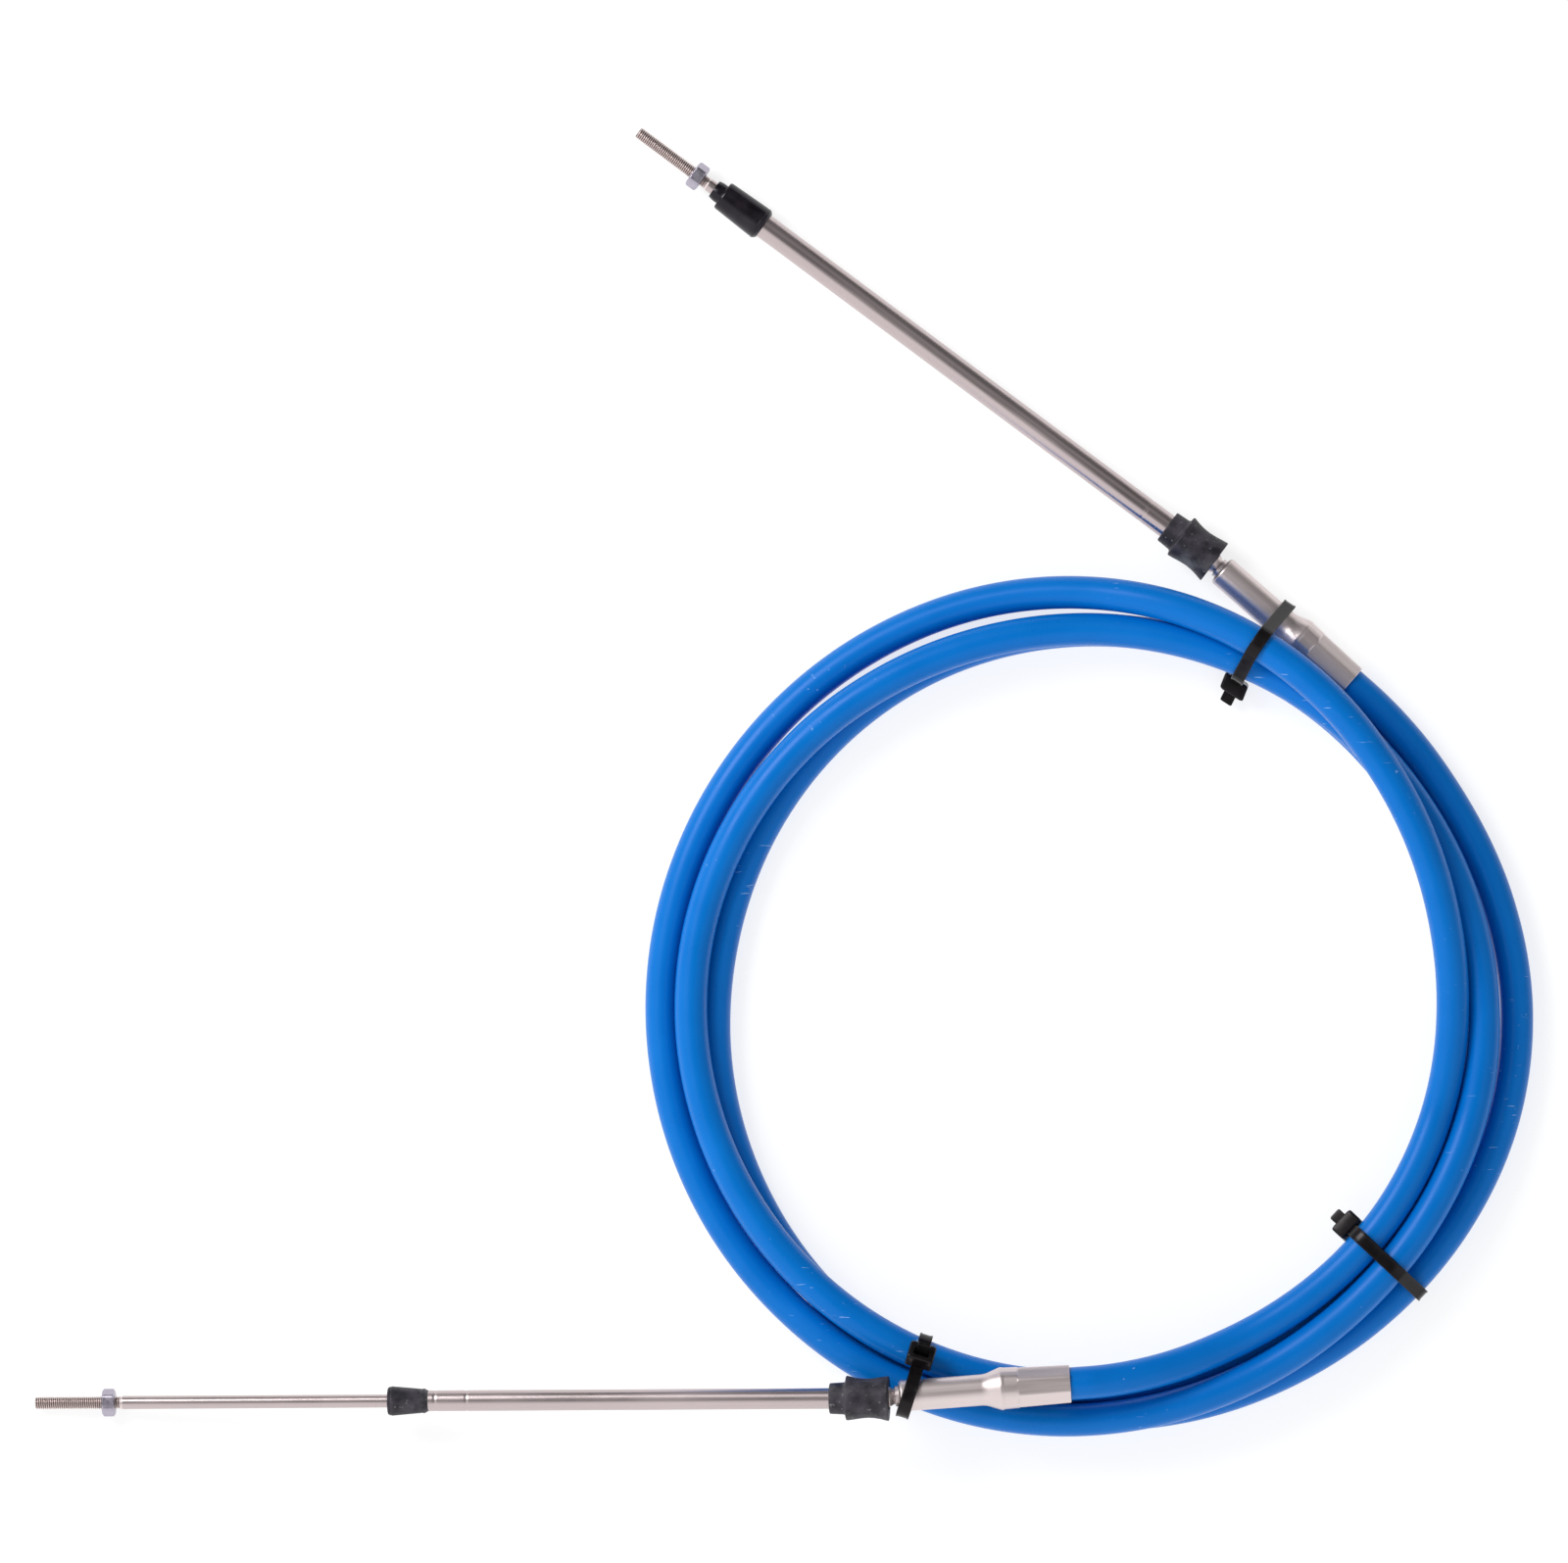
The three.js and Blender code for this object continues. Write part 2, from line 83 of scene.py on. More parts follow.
# The lay of the coil. Each row is a station: degrees travelled round the coil, lane (cable widths
# outside lane 0) and layer (cable widths off the floor).
LAY = [
    (270, -0.06, 2.03),
    (280, -0.21, 1.68),
    (292, -0.36, 1.12),
    (306, -0.42, 0.88),
    (326, -0.42, 0.87),
    (346, -0.43, 0.97),
    (361, -0.44, 1.34),
    (374, -0.38, 1.7),
    (387, -0.21, 1.93),
    (400, 0.04, 2.0),
    (413, 0.38, 1.95),
    (426, 0.7, 1.75),
    (439, 0.96, 1.34),
    (452, 1.14, 0.8),
    (465, 1.27, 0.35),
    (478, 1.35, 0.1),
    (492, 1.42, 0.01),
    (512, 1.5, 0.0),
    (532, 1.56, 0.0),
    (552, 1.57, 0.0),
    (570, 1.54, 0.03),
    (585, 1.47, 0.22),
    (598, 1.4, 0.61),
    (611, 1.29, 0.87),
    (624, 1.14, 0.98),
    (638, 0.96, 1.02),
    (654, 0.78, 0.97),
    (672, 0.62, 0.88),
    (690, 0.58, 0.87),
    (708, 0.56, 0.87),
    (723, 0.45, 0.93),
    (738, 0.31, 0.98),
    (753, 0.18, 1.01),
    (771, 0.1, 1.01),
    (789, 0.03, 1.01),
    (807, 0.03, 1.01),
    (825, 0.1, 1.01),
    (841, 0.24, 0.97),
    (857, 0.43, 0.87),
    (873, 0.58, 0.76),
    (889, 0.68, 0.7),
    (903, 0.7, 0.76),
    (917, 0.66, 0.9),
    (931, 0.58, 1.0),
    (945, 0.48, 1.02),
    (958, 0.37, 1.0),
    (971, 0.25, 0.88),
    (984, 0.14, 0.67),
    (997, 0.09, 0.4),
    (1010, 0.08, 0.14),
    (1023, 0.08, 0.01),
    (1050, 0.08, 0.0),
    (1080, 0.08, 0.0),
    (1110, 0.08, 0.0),
    (1140, 0.08, 0.0),
    (1170, 0.02, 0.0),
    (1200, -0.02, 0.0),
    (1230, -0.08, 0.0),
    (1250, -0.06, 0.0),
    (1270, 0.1, 0.0),
    (1290, 0.3, 0.0),
    (1305, 0.48, 0.0),
    (1320, 0.63, 0.0),
    (1335, 0.81, 0.0),
    (1350, 0.93, 0.0),
    (1365, 1.04, 0.0),
    (1380, 1.14, 0.0),
    (1395, 1.28, 0.0),
    (1410, 1.43, 0.0),
    (1425, 1.53, 0.0),
    (1440, 1.48, 0.0),
    (1455, 1.31, 0.0),
    (1470, 1.14, 0.02),
    (1480, 1.12, 0.06),
    (1488.4, 1.126, 0.1),
]

# Cable ties. Middles are from the coil's centre, and turns are degrees.
STRAP_WIDTH = 5 * MM
STRAP_THICKNESS = 1.2 * MM
STRAP_GAP = 0.4 * MM
STRAP_STEPS = 120
STRAP_EDGE = 0.3 * MM
STRAP_DIP = 0.2 * MM  # of its face between the rims
HEAD_WIDTH = 10.2 * MM
HEAD_LENGTH = 8.2 * MM
HEAD_THICKNESS = 6.2 * MM
HEAD_CORNER = 1 * MM
HEAD_FOOT = 0.6 * MM
HEAD_SHOULDER = 0.9 * MM
HEAD_BEVEL = 0.2 * MM
HEAD_RISE = 0.35 * MM  # of its top bevel
SLOT_LENGTH = 3 * MM
SLOT_DEPTH = 2.2 * MM
SLOT_SHIFT = 0.7 * MM
SLOT_ROOM = 0.35 * MM  # beside the strap
TAIL_LENGTH = 4.2 * MM
TIE_REACH = 34 * MM
LIFT_REACH = 26  # degrees
BOW_REACH = 20 * MM
TIES = [
    {
        "name": "lower_tie",
        "middle": (-67 * MM, -140 * MM),
        "turn": 253,
        "head_turn": 129.5,
        "head_slide": 8.5 * MM,
        "bow": 0,
    },
    {
        "name": "side_tie",
        "middle": (107 * MM, -92 * MM),
        "turn": 317,
        "head_turn": 200,
        "head_slide": 0,
        "bow": 0,
    },
    {
        "name": "upper_tie",
        "middle": (64 * MM, 135 * MM),
        "turn": 57,
        "head_turn": 190,
        "head_slide": 0,
        "bow": 2.3 * MM,
    },
]

# Hub, measured back from the ball's centre
BALL_RADIUS = 4.9 * MM
NECK_RADIUS = 2.9 * MM
RING_RADIUS = 3.9 * MM
RING_WIDTH = 1.5 * MM  # against the hub's face
FLARE_RADIUS = 4 * MM  # of the neck where it leaves the boot
FLARE_RUN = 1.9 * MM
BALL_TO_HUB = 12.1 * MM
HUB_RADIUS = 5.9 * MM
HUB_CHAMFER = 0.8 * MM
HUB_PLAIN_LENGTH = 32.5 * MM
HUB_TAPER_LENGTH = 6.2 * MM
HUMP_RADIUS = 8.2 * MM
CRIMP_LENGTH = 26 * MM
CRIMP_RADIUS = 7.7 * MM
CRIMP_FLATS = 8
CRIMP_FLAT_RADIUS = 7.35 * MM
CORE_BORE = 1.7 * MM
HUB_LENGTH = HUB_PLAIN_LENGTH + HUB_TAPER_LENGTH + CRIMP_LENGTH

# The crimping die's first step, between the hump and the long flats
DIE_STEP_LENGTH = 6.2 * MM
DIE_STEP_DEPTH = 0.06 * MM
DIE_RUN = 0.5 * MM
FLASH_HEIGHT = 0.2 * MM  # of the thin ridges between the flats
CRIMP_DRAFT = 0.25 * MM  # wider by the hump, narrower at the mouth

# Swivelling tube and boot, measured from the ball's centre towards the rod's tip
CUP_RADIUS = 6.3 * MM
CUP_BACK = 2.6 * MM
CUP_FRONT = 6.4 * MM
CUP_TAPER = 3 * MM
SWAGE_RUN = 0.8 * MM
SWAGE_DEPTH = 0.12 * MM
SWIVEL_ANGLE = 8  # degrees
BOOT_WALL = 1.7 * MM
BOOT_BACK = 8.3 * MM
BOOT_BODY_FRONT = 7.8 * MM
BOOT_FRONT = 14.1 * MM
BOOT_WAIST = 0.7 * MM
BOOT_RIM_WAVE = 0.25 * MM  # how far the worn rims stray from round
COLLAR_FILLET = 0.3 * MM

# Rods, wipers and nuts
ROD_RADIUS = 2.5 * MM
THREAD_RADIUS = 2.415 * MM
THREAD_CHAMFER = 0.5 * MM
THREAD_LENGTH = 33 * MM
THREAD_PITCH = 0.794 * MM
THREAD_DEPTH = 0.46 * MM
THREAD_FLAT = 0.125  # share of its depth that is cut off the sharp crest and root
THREAD_SAMPLES = 10  # rings in one pitch
NUT_FLATS = 9.5 * MM
NUT_THICKNESS = 4.7 * MM
NUT_SEAT = 27.9 * MM
NUT_BEVEL = 0.25 * MM
NUT_SINK = 0.3 * MM  # chamfer of its hole
WIPER_GRIP = 8 * MM
WIPER_ROUND = 1.2 * MM
WIPER_GROOVE = 0.2 * MM
LIP_TAPER = 0.4 * MM

# What differs between the two ends. Headings are degrees about +Z, and pitch is up from level.
ENDS = {
    "lower": {
        "station": LAY[0][0],
        "hub_heading": 184.1,
        "sleeve_heading": 180.45,
        "sleeve_pitch": -5.25,
        "tube_radius": 3.95 * MM,
        "tube_length": 174 * MM,
        "boot_radius": 8.35 * MM,
        "collar_radius": 5.8 * MM,
        "wiper_length": 14.6 * MM,
        "wiper_back": 4.7 * MM,
        "wiper_front": 5.6 * MM,
        "lip_length": 0.8 * MM,
        "lip_radius": 5.3 * MM,
        "rod_reach": 315.3 * MM,
        "rod_length": 205 * MM,
        "swages": (151.5 * MM, 163.5 * MM),
    },
    "upper": {
        "station": LAY[-1][0],
        "hub_heading": 138.6,
        "sleeve_heading": 143.3,
        "sleeve_pitch": -0.6,
        "tube_radius": 4.75 * MM,
        "tube_length": 212 * MM,
        "boot_radius": 8.6 * MM,
        "collar_radius": 6.4 * MM,
        "wiper_length": 19.6 * MM,
        "wiper_back": 6.45 * MM,
        "wiper_front": 5.8 * MM,
        "lip_length": 3.9 * MM,
        "lip_radius": 3.95 * MM,
        "rod_reach": 263.2 * MM,
        "rod_length": 248 * MM,
        "swages": (24 * MM,),
    },
}

# Photo and camera
PHOTO_WIDTH = 1600
PIXEL = 0.37 * MM
CAMERA_HEIGHT = 10.0
FOCUS_HEIGHT = 10 * MM  # where one pixel of the photo is PIXEL wide

# The floor is as pale in the coil's shade as in the open
FLOOR_GREY = 0.35
FLOOR_GLOW = 0.75

# One soft key light, and the studio's bright and dim sides
KEY_PLACE = (-1.1, 0.9, 1.3)
KEY_SIZE = (0.9, 0.9)
KEY_POWER = 24
BRIGHT_SIDE = (-0.35, -0.85, 0.4)
DIM_SIDE = (0.45, 0.88, 0.1)

# Colours. The rubbers' are before the dust, and SHINE tints a reflection.
SATIN_TONE = (0.8, 0.7, 0.695)
DRAWN_TONE = (0.6, 0.51, 0.515)
JACKET_DARK = (0.0, 0.155, 0.56, 1)
JACKET_LIGHT = (0.0, 0.185, 0.64, 1)
JACKET_SCUFF = (0.22, 0.42, 0.8, 1)
JACKET_SHINE = (0.45, 0.5, 0.9, 1)
THREAD_ROOT = (0.2, 0.155, 0.145, 1)
THREAD_CREST = (0.85, 0.74, 0.72, 1)
ZINC_DARK = (0.36, 0.335, 0.41, 1)
ZINC_LIGHT = (0.52, 0.48, 0.56, 1)
NYLON_DARK = (0.003, 0.0028, 0.003, 1)
NYLON_LIGHT = (0.011, 0.0095, 0.0105, 1)
NYLON_SHINE = (1, 0.92, 0.97, 1)
RUBBER_SHINE = (0.95, 0.9, 1.0, 1)
BOOT_DARK = (0.01, 0.0095, 0.013, 1)
BOOT_LIGHT = (0.055, 0.05, 0.062, 1)
WIPER_DARK = (0.0035, 0.0025, 0.004, 1)
WIPER_LIGHT = (0.011, 0.0085, 0.013, 1)
DUST_GREY = 0.2


# The cable's route, from the coil's centre


def direction(heading, pitch=0.0):
    turn = math.radians(heading)
    lean = math.radians(pitch)
    level = math.cos(lean)
    return Vector((math.cos(turn) * level, math.sin(turn) * level, math.sin(lean)))


def smooth_step(low, high, value):
    t = min(max((value - low) / (high - low), 0), 1)
    return t * t * (3 - 2 * t)


def slope_at(index, column):
    before = LAY[max(index - 1, 0)]
    after = LAY[min(index + 1, len(LAY) - 1)]
    return (after[column] - before[column]) / (after[0] - before[0])


def lay_value(angle, column):
    """A lane or a layer between two stations, on a smooth curve through all of them."""
    found = next((i for i, station in enumerate(LAY) if station[0] >= angle), len(LAY) - 1)
    index = max(found, 1) - 1
    here, there = LAY[index], LAY[index + 1]
    span = there[0] - here[0]
    t = (angle - here[0]) / span
    rise = t * t * (3 - 2 * t)
    leave = slope_at(index, column) * span * t * (1 - t) ** 2
    arrive = slope_at(index + 1, column) * span * t * t * (1 - t)
    return here[column] * (1 - rise) + there[column] * rise + leave - arrive


def lift_at(angle):
    """How far the coil stands off the floor at an angle, because it lies on the ties' straps."""
    lifts = []
    for tie in TIES:
        tie_angle = math.degrees(math.atan2(tie["middle"][1], tie["middle"][0]))
        away = abs((angle - tie_angle + 180) % 360 - 180)
        share = smooth_step(0, LIFT_REACH / 2, LIFT_REACH - away)
        lifts.append((STRAP_THICKNESS + STRAP_GAP) * share)
    return max(lifts)


def coil_point(angle):
    point = direction(angle) * (COIL_RADIUS + STRAND_PITCH * lay_value(angle, 1))
    point.z = JACKET_RADIUS + STRAND_PITCH * lay_value(angle, 2) + lift_at(angle)
    return point


def mouth_of(end):
    return coil_point(end["station"]) + direction(end["hub_heading"]) * MOUTH_RUN


def ball_of(end):
    return mouth_of(end) + direction(end["hub_heading"]) * (HUB_LENGTH + BALL_TO_HUB)


def cable_route():
    """Points along the jacket, from its seat in the lower hub to its seat in the upper one."""
    first, last = LAY[0][0], LAY[-1][0]
    count = round((last - first) / JACKET_STEP)
    points = [coil_point(first + (last - first) * i / count) for i in range(count + 1)]
    run_step = MOUTH_RUN / 3
    runs = round((MOUTH_RUN + SEAT_DEPTH) / run_step)
    lower = direction(ENDS["lower"]["hub_heading"]) * run_step
    upper = direction(ENDS["upper"]["hub_heading"]) * run_step
    before = [points[0] + lower * i for i in range(runs, 0, -1)]
    after = [points[-1] + upper * i for i in range(1, runs + 1)]
    return before + points + after


# Meshes. A loft is a list of rings, each with as many points.


def loft(name, rings, joined=False, caps=False):
    """A mesh through rings. joined links the last ring to the first, caps closes both ends."""
    count = len(rings[0])
    faces = []
    for i in range(len(rings) if joined else len(rings) - 1):
        start, next_start = i * count, (i + 1) % len(rings) * count
        for k in range(count):
            side = (k + 1) % count
            faces.append((start + k, start + side, next_start + side, next_start + k))
    if caps:
        last = (len(rings) - 1) * count
        faces.append(tuple(range(count))[::-1])
        faces.append(tuple(range(last, last + count)))
    mesh = bpy.data.meshes.new(name)
    mesh.from_pydata([point for ring in rings for point in ring], [], faces)
    return finished(name, mesh)


def finished(name, mesh):
    """An object for a new mesh, its faces all facing out and shaded smooth."""
    shape = bmesh.new()
    shape.from_mesh(mesh)
    bmesh.ops.recalc_face_normals(shape, faces=shape.faces)
    shape.to_mesh(mesh)
    shape.free()
    mesh.shade_smooth()
    piece = bpy.data.objects.new(name, mesh)
    bpy.context.scene.collection.objects.link(piece)
    return piece


def rounded(corners, closed=True):
    """The outline through corners (along, radius, setback), each corner cut round at its setback."""
    outline = []
    for i, (along, radius, setback) in enumerate(corners):
        corner = Vector((along, radius))
        at_end = not closed and i in (0, len(corners) - 1)
        if setback == 0 or at_end:
            outline.append(corner)
            continue
        before = Vector(corners[i - 1][:2])
        after = Vector(corners[(i + 1) % len(corners)][:2])
        start = corner + (before - corner).normalized() * setback
        stop = corner + (after - corner).normalized() * setback
        for step in range(CORNER_STEPS + 1):
            t = step / CORNER_STEPS
            outline.append(start * (1 - t) ** 2 + corner * 2 * t * (1 - t) + stop * t**2)
    return outline


def turned(outline, section=None):
    """Rings about +X for an outline of (along, radius). section may change a ring's radius."""
    rings = []
    for along, radius in outline:
        ring = []
        for k in range(ROUND_SIDES):
            turn = 2 * math.pi * k / ROUND_SIDES
            reach = section(along, radius, turn) if section else radius
            ring.append((along, reach * math.cos(turn), reach * math.sin(turn)))
        rings.append(ring)
    return rings


def crisp(piece):
    """Keeps flat faces flat beside their rounded edges."""
    modifier = piece.modifiers.new("crisp", "WEIGHTED_NORMAL")
    modifier.keep_sharp = True
    return piece


def place(piece, body, slot, material, *nodes):
    """Gives a piece its material, and puts it on its body for its CAD nodes. The slot argument is not used.
    """
    piece.data.materials.append(material)
    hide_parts(*nodes)
    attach(piece, body)
    return piece


# Materials


class Paint:
    """A node tree, with a short way to add a node and set or link its inputs."""

    def __init__(self, owner, shader="Principled BSDF"):
        owner.use_nodes = True
        self.owner = owner
        self.tree = owner.node_tree
        self.shader = self.tree.nodes[shader]

    def put(self, node, inputs):
        for key, value in inputs.items():
            if isinstance(value, bpy.types.NodeSocket):
                self.tree.links.new(value, node.inputs[key])
            else:
                node.inputs[key].default_value = value

    def add(self, kind, inputs, output=0, **settings):
        node = self.tree.nodes.new("ShaderNode" + kind)
        for key, value in settings.items():
            setattr(node, key, value)
        self.put(node, inputs)
        return node.outputs[output]

    def place(self):
        return self.add("TexCoord", {}, "Object")

    def noise(self, where, scale, detail=2.0, stretch=(1, 1, 1)):
        spread = self.add("Mapping", {"Vector": where, "Scale": stretch})
        return self.add("TexNoise", {"Vector": spread, "Scale": scale, "Detail": detail}, "Fac")

    def ramp(self, value, low, high, bottom=0.0, top=1.0):
        inputs = {"Value": value, 1: low, 2: high, 3: bottom, 4: top}
        return self.add("MapRange", inputs)

    def mix(self, share, first, second):
        inputs = {0: share, 6: first, 7: second}
        return self.add("Mix", inputs, 2, data_type="RGBA")

    def bump(self, height, distance, strength=1.0):
        inputs = {"Height": height, "Distance": distance, "Strength": strength}
        return self.add("Bump", inputs)


def grey(value):
    return (value, value, value, 1.0)


def jacket_material():
    """Blue extruded plastic with a faint mottle, pale scuffs and short scratches across it."""
    paint = Paint(bpy.data.materials.new("jacket_plastic"))
    where = paint.place()
    mottle = paint.noise(where, 60, 3)
    blue = paint.mix(mottle, JACKET_DARK, JACKET_LIGHT)
    specks = paint.ramp(paint.noise(where, 420, 2), 0.7, 0.76)
    patches = paint.ramp(paint.noise(where, 28, 2), 0.56, 0.68)
    scuffs = paint.add("Math", {0: specks, 1: patches}, operation="MULTIPLY")
    lines = paint.ramp(paint.noise(where, 130, 2, (1, 9, 1)), 0.7, 0.74)
    worn = paint.ramp(paint.noise(where, 9, 1), 0.56, 0.62)
    scratches = paint.add("Math", {0: lines, 1: worn}, operation="MULTIPLY")
    marks = paint.add("Math", {0: scuffs, 1: scratches}, operation="MAXIMUM")
    colour = paint.mix(marks, blue, JACKET_SCUFF)
    grain = paint.noise(where, 900, 4)
    paint.put(paint.shader, {
        "Base Color": colour,
        "Roughness": paint.ramp(mottle, 0.3, 0.7, 0.26, 0.36),
        "Normal": paint.bump(grain, 0.00003, 0.3),
        "Specular IOR Level": 0.32,
        "Specular Tint": JACKET_SHINE,
    })
    return paint.owner


def steel_material(name, tone, roughness, metallic):
    """Drawn stainless steel: fine streaks along the local X axis."""
    paint = Paint(bpy.data.materials.new(name))
    where = paint.place()
    streaks = paint.noise(where, 900, 3, (0.02, 1, 1))
    haze = paint.noise(where, 70, 3, (0.3, 1, 1))
    colour = paint.mix(haze, [0.82 * level for level in tone] + [1], [*tone, 1])
    rough = paint.add("Math", {
        0: paint.ramp(streaks, 0.3, 0.7, 0.0, 0.14),
        1: paint.ramp(haze, 0.3, 0.7, roughness - 0.05, roughness + 0.05),
    }, operation="ADD")
    paint.put(paint.shader, {
        "Base Color": colour,
        "Metallic": metallic,
        "Roughness": rough,
        "Normal": paint.bump(streaks, 0.00002, 0.5),
    })
    return paint.owner


def thread_material():
    """Rolled steel thread: bright crests, dull brownish roots."""
    paint = Paint(bpy.data.materials.new("rolled_thread"))
    where = paint.place()
    off_axis = paint.add("VectorMath", {0: where, 1: (0, 1, 1)}, operation="MULTIPLY")
    radius = paint.add("VectorMath", {0: off_axis}, "Value", operation="LENGTH")
    crest = paint.ramp(radius, THREAD_RADIUS - THREAD_DEPTH, THREAD_RADIUS)
    cloud = paint.noise(where, 500, 3)
    paint.put(paint.shader, {
        "Base Color": paint.mix(crest, THREAD_ROOT, THREAD_CREST),
        "Metallic": 1.0,
        "Roughness": paint.ramp(cloud, 0.3, 0.7, 0.34, 0.46),
    })
    return paint.owner


def zinc_material():
    """Bluish zinc plating, a little cloudy."""
    paint = Paint(bpy.data.materials.new("zinc_plating"))
    where = paint.place()
    cloud = paint.noise(where, 500, 3)
    colour = paint.mix(cloud, ZINC_DARK, ZINC_LIGHT)
    paint.put(paint.shader, {
        "Base Color": colour,
        "Metallic": 1.0,
        "Roughness": paint.ramp(cloud, 0.3, 0.7, 0.26, 0.4),
        "Normal": paint.bump(cloud, 0.00002, 0.4),
    })
    return paint.owner


def rubber_material(name, dark, light, dust_share, roughness):
    """Moulded rubber with a dusty bloom and fine pits."""
    paint = Paint(bpy.data.materials.new(name))
    where = paint.place()
    mottle = paint.noise(where, 190, 6)
    base = paint.mix(paint.ramp(mottle, 0.36, 0.64), dark, light)
    specks = paint.ramp(paint.noise(where, 700, 2), 0.66, 0.75)
    clouds = paint.ramp(paint.noise(where, 90, 4), 0.5, 0.75)
    dust = paint.add("Math", {0: specks, 1: clouds}, operation="MAXIMUM")
    share = paint.add("Math", {0: dust, 1: dust_share}, operation="MULTIPLY")
    grain = paint.noise(where, 1500, 3)
    paint.put(paint.shader, {
        "Base Color": paint.mix(share, base, grey(DUST_GREY)),
        "Roughness": paint.ramp(mottle, 0.3, 0.7, roughness - 0.06, roughness + 0.06),
        "Normal": paint.bump(grain, 0.00005, 0.5),
        "Specular IOR Level": 0.35,
        "Specular Tint": RUBBER_SHINE,
    })
    return paint.owner


def nylon_material():
    """Black nylon with a soft shine."""
    paint = Paint(bpy.data.materials.new("black_nylon"))
    where = paint.place()
    mottle = paint.noise(where, 300, 4)
    colour = paint.mix(mottle, NYLON_DARK, NYLON_LIGHT)
    paint.put(paint.shader, {
        "Base Color": colour,
        "Roughness": paint.ramp(mottle, 0.3, 0.7, 0.16, 0.26),
        "Normal": paint.bump(paint.noise(where, 800, 3), 0.00002, 0.3),
        "Specular IOR Level": 0.2,
        "Specular Tint": NYLON_SHINE,
    })
    return paint.owner


# Jacket


def make_jacket(material, offset):
    points = [point + offset for point in cable_route()]
    rings = []
    for i, point in enumerate(points):
        along = points[min(i + 1, len(points) - 1)] - points[max(i - 1, 0)]
        side = along.cross(Vector((0, 0, 1))).normalized()
        above = side.cross(along).normalized()
        ring = []
        for k in range(JACKET_SIDES):
            turn = 2 * math.pi * k / JACKET_SIDES
            ring.append(point + JACKET_RADIUS * (side * math.cos(turn) + above * math.sin(turn)))
        rings.append(ring)
    jacket = place(loft("jacket_skin", rings, caps=True), "root", "jacket", material, "jacket")
    mouth_of(ENDS["lower"]) + offset
    return jacket


# Hub


def crimp_section(along, radius, turn):
    """The hub's outside: a round barrel, a short die step, then long crimp flats to the mouth."""
    front = -BALL_TO_HUB - HUB_PLAIN_LENGTH - HUB_TAPER_LENGTH
    if radius < JACKET_RADIUS + 2 * SEAT_GAP or along > front:
        return radius
    facet = 2 * math.pi / CRIMP_FLATS
    lean = math.cos((turn + facet / 2) % facet - facet / 2)
    long_share = smooth_step(0, DIE_RUN, front - DIE_STEP_LENGTH - along)
    flat = radius - DIE_STEP_DEPTH - (CRIMP_RADIUS - CRIMP_FLAT_RADIUS - DIE_STEP_DEPTH) * long_share
    start_share = smooth_step(0, 2 * DIE_RUN, front - along)
    edge = math.cos(facet / 2 - math.pi / ROUND_SIDES)
    flash = FLASH_HEIGHT * long_share if lean < edge else 0
    return radius + (min(flat / lean, radius) - radius) * start_share + flash


def hub_outline():
    mouth = -BALL_TO_HUB - HUB_LENGTH
    front = mouth + CRIMP_LENGTH
    shoulder = front + HUB_TAPER_LENGTH
    flare = -BOOT_BACK
    ring_front = -BALL_TO_HUB + RING_WIDTH
    seat = JACKET_RADIUS + SEAT_GAP / 2
    lip = 2.5 * ROUND
    ball_front = math.asin(CORE_BORE / BALL_RADIUS)
    ball_back = math.pi - math.asin(NECK_RADIUS / BALL_RADIUS)
    ball = []
    for i in range(BALL_STEPS + 1):
        turn = ball_front + (ball_back - ball_front) * i / BALL_STEPS
        ball.append((BALL_RADIUS * math.cos(turn), BALL_RADIUS * math.sin(turn), 0))
    step_back = front - DIE_STEP_LENGTH

    def drafted(along):
        return CRIMP_RADIUS + CRIMP_DRAFT * (2 * (along - mouth) / CRIMP_LENGTH - 1)

    return rounded([
        (mouth + SEAT_DEPTH + SEAT_GAP, seat, 0),
        (mouth + SEAT_DEPTH + SEAT_GAP, CORE_BORE, 0),
        *ball,
        (flare + FLARE_RUN, NECK_RADIUS, 5 * ROUND),
        (flare, FLARE_RADIUS, 2 * ROUND),
        (flare - FLARE_RUN, NECK_RADIUS, 6 * ROUND),
        (ring_front, NECK_RADIUS, lip),
        (ring_front, RING_RADIUS, lip),
        (-BALL_TO_HUB, RING_RADIUS, lip),
        (-BALL_TO_HUB, HUB_RADIUS - HUB_CHAMFER, 2 * ROUND),
        (-BALL_TO_HUB - HUB_CHAMFER, HUB_RADIUS, 4 * ROUND),
        (shoulder, HUB_RADIUS, 16 * ROUND),
        (front, HUMP_RADIUS, 7 * ROUND),
        (front - 2 * DIE_RUN, CRIMP_RADIUS + CRIMP_DRAFT, 2 * ROUND),
        (step_back + DIE_RUN, drafted(step_back), 0),
        (step_back, drafted(step_back), 0),
        (step_back - DIE_RUN / 2, drafted(step_back), 0),
        (step_back - DIE_RUN, drafted(step_back), 0),
        (mouth, CRIMP_RADIUS - CRIMP_DRAFT, 3.5 * ROUND),
        (mouth, seat, 2 * ROUND),
    ])


def make_hub(name):
    rings = turned(hub_outline(), crimp_section)
    return crisp(loft(name + "_hub_body", rings, joined=True))


# Swivelling tube, boot, wiper, rod and nut, about +X from the ball's centre


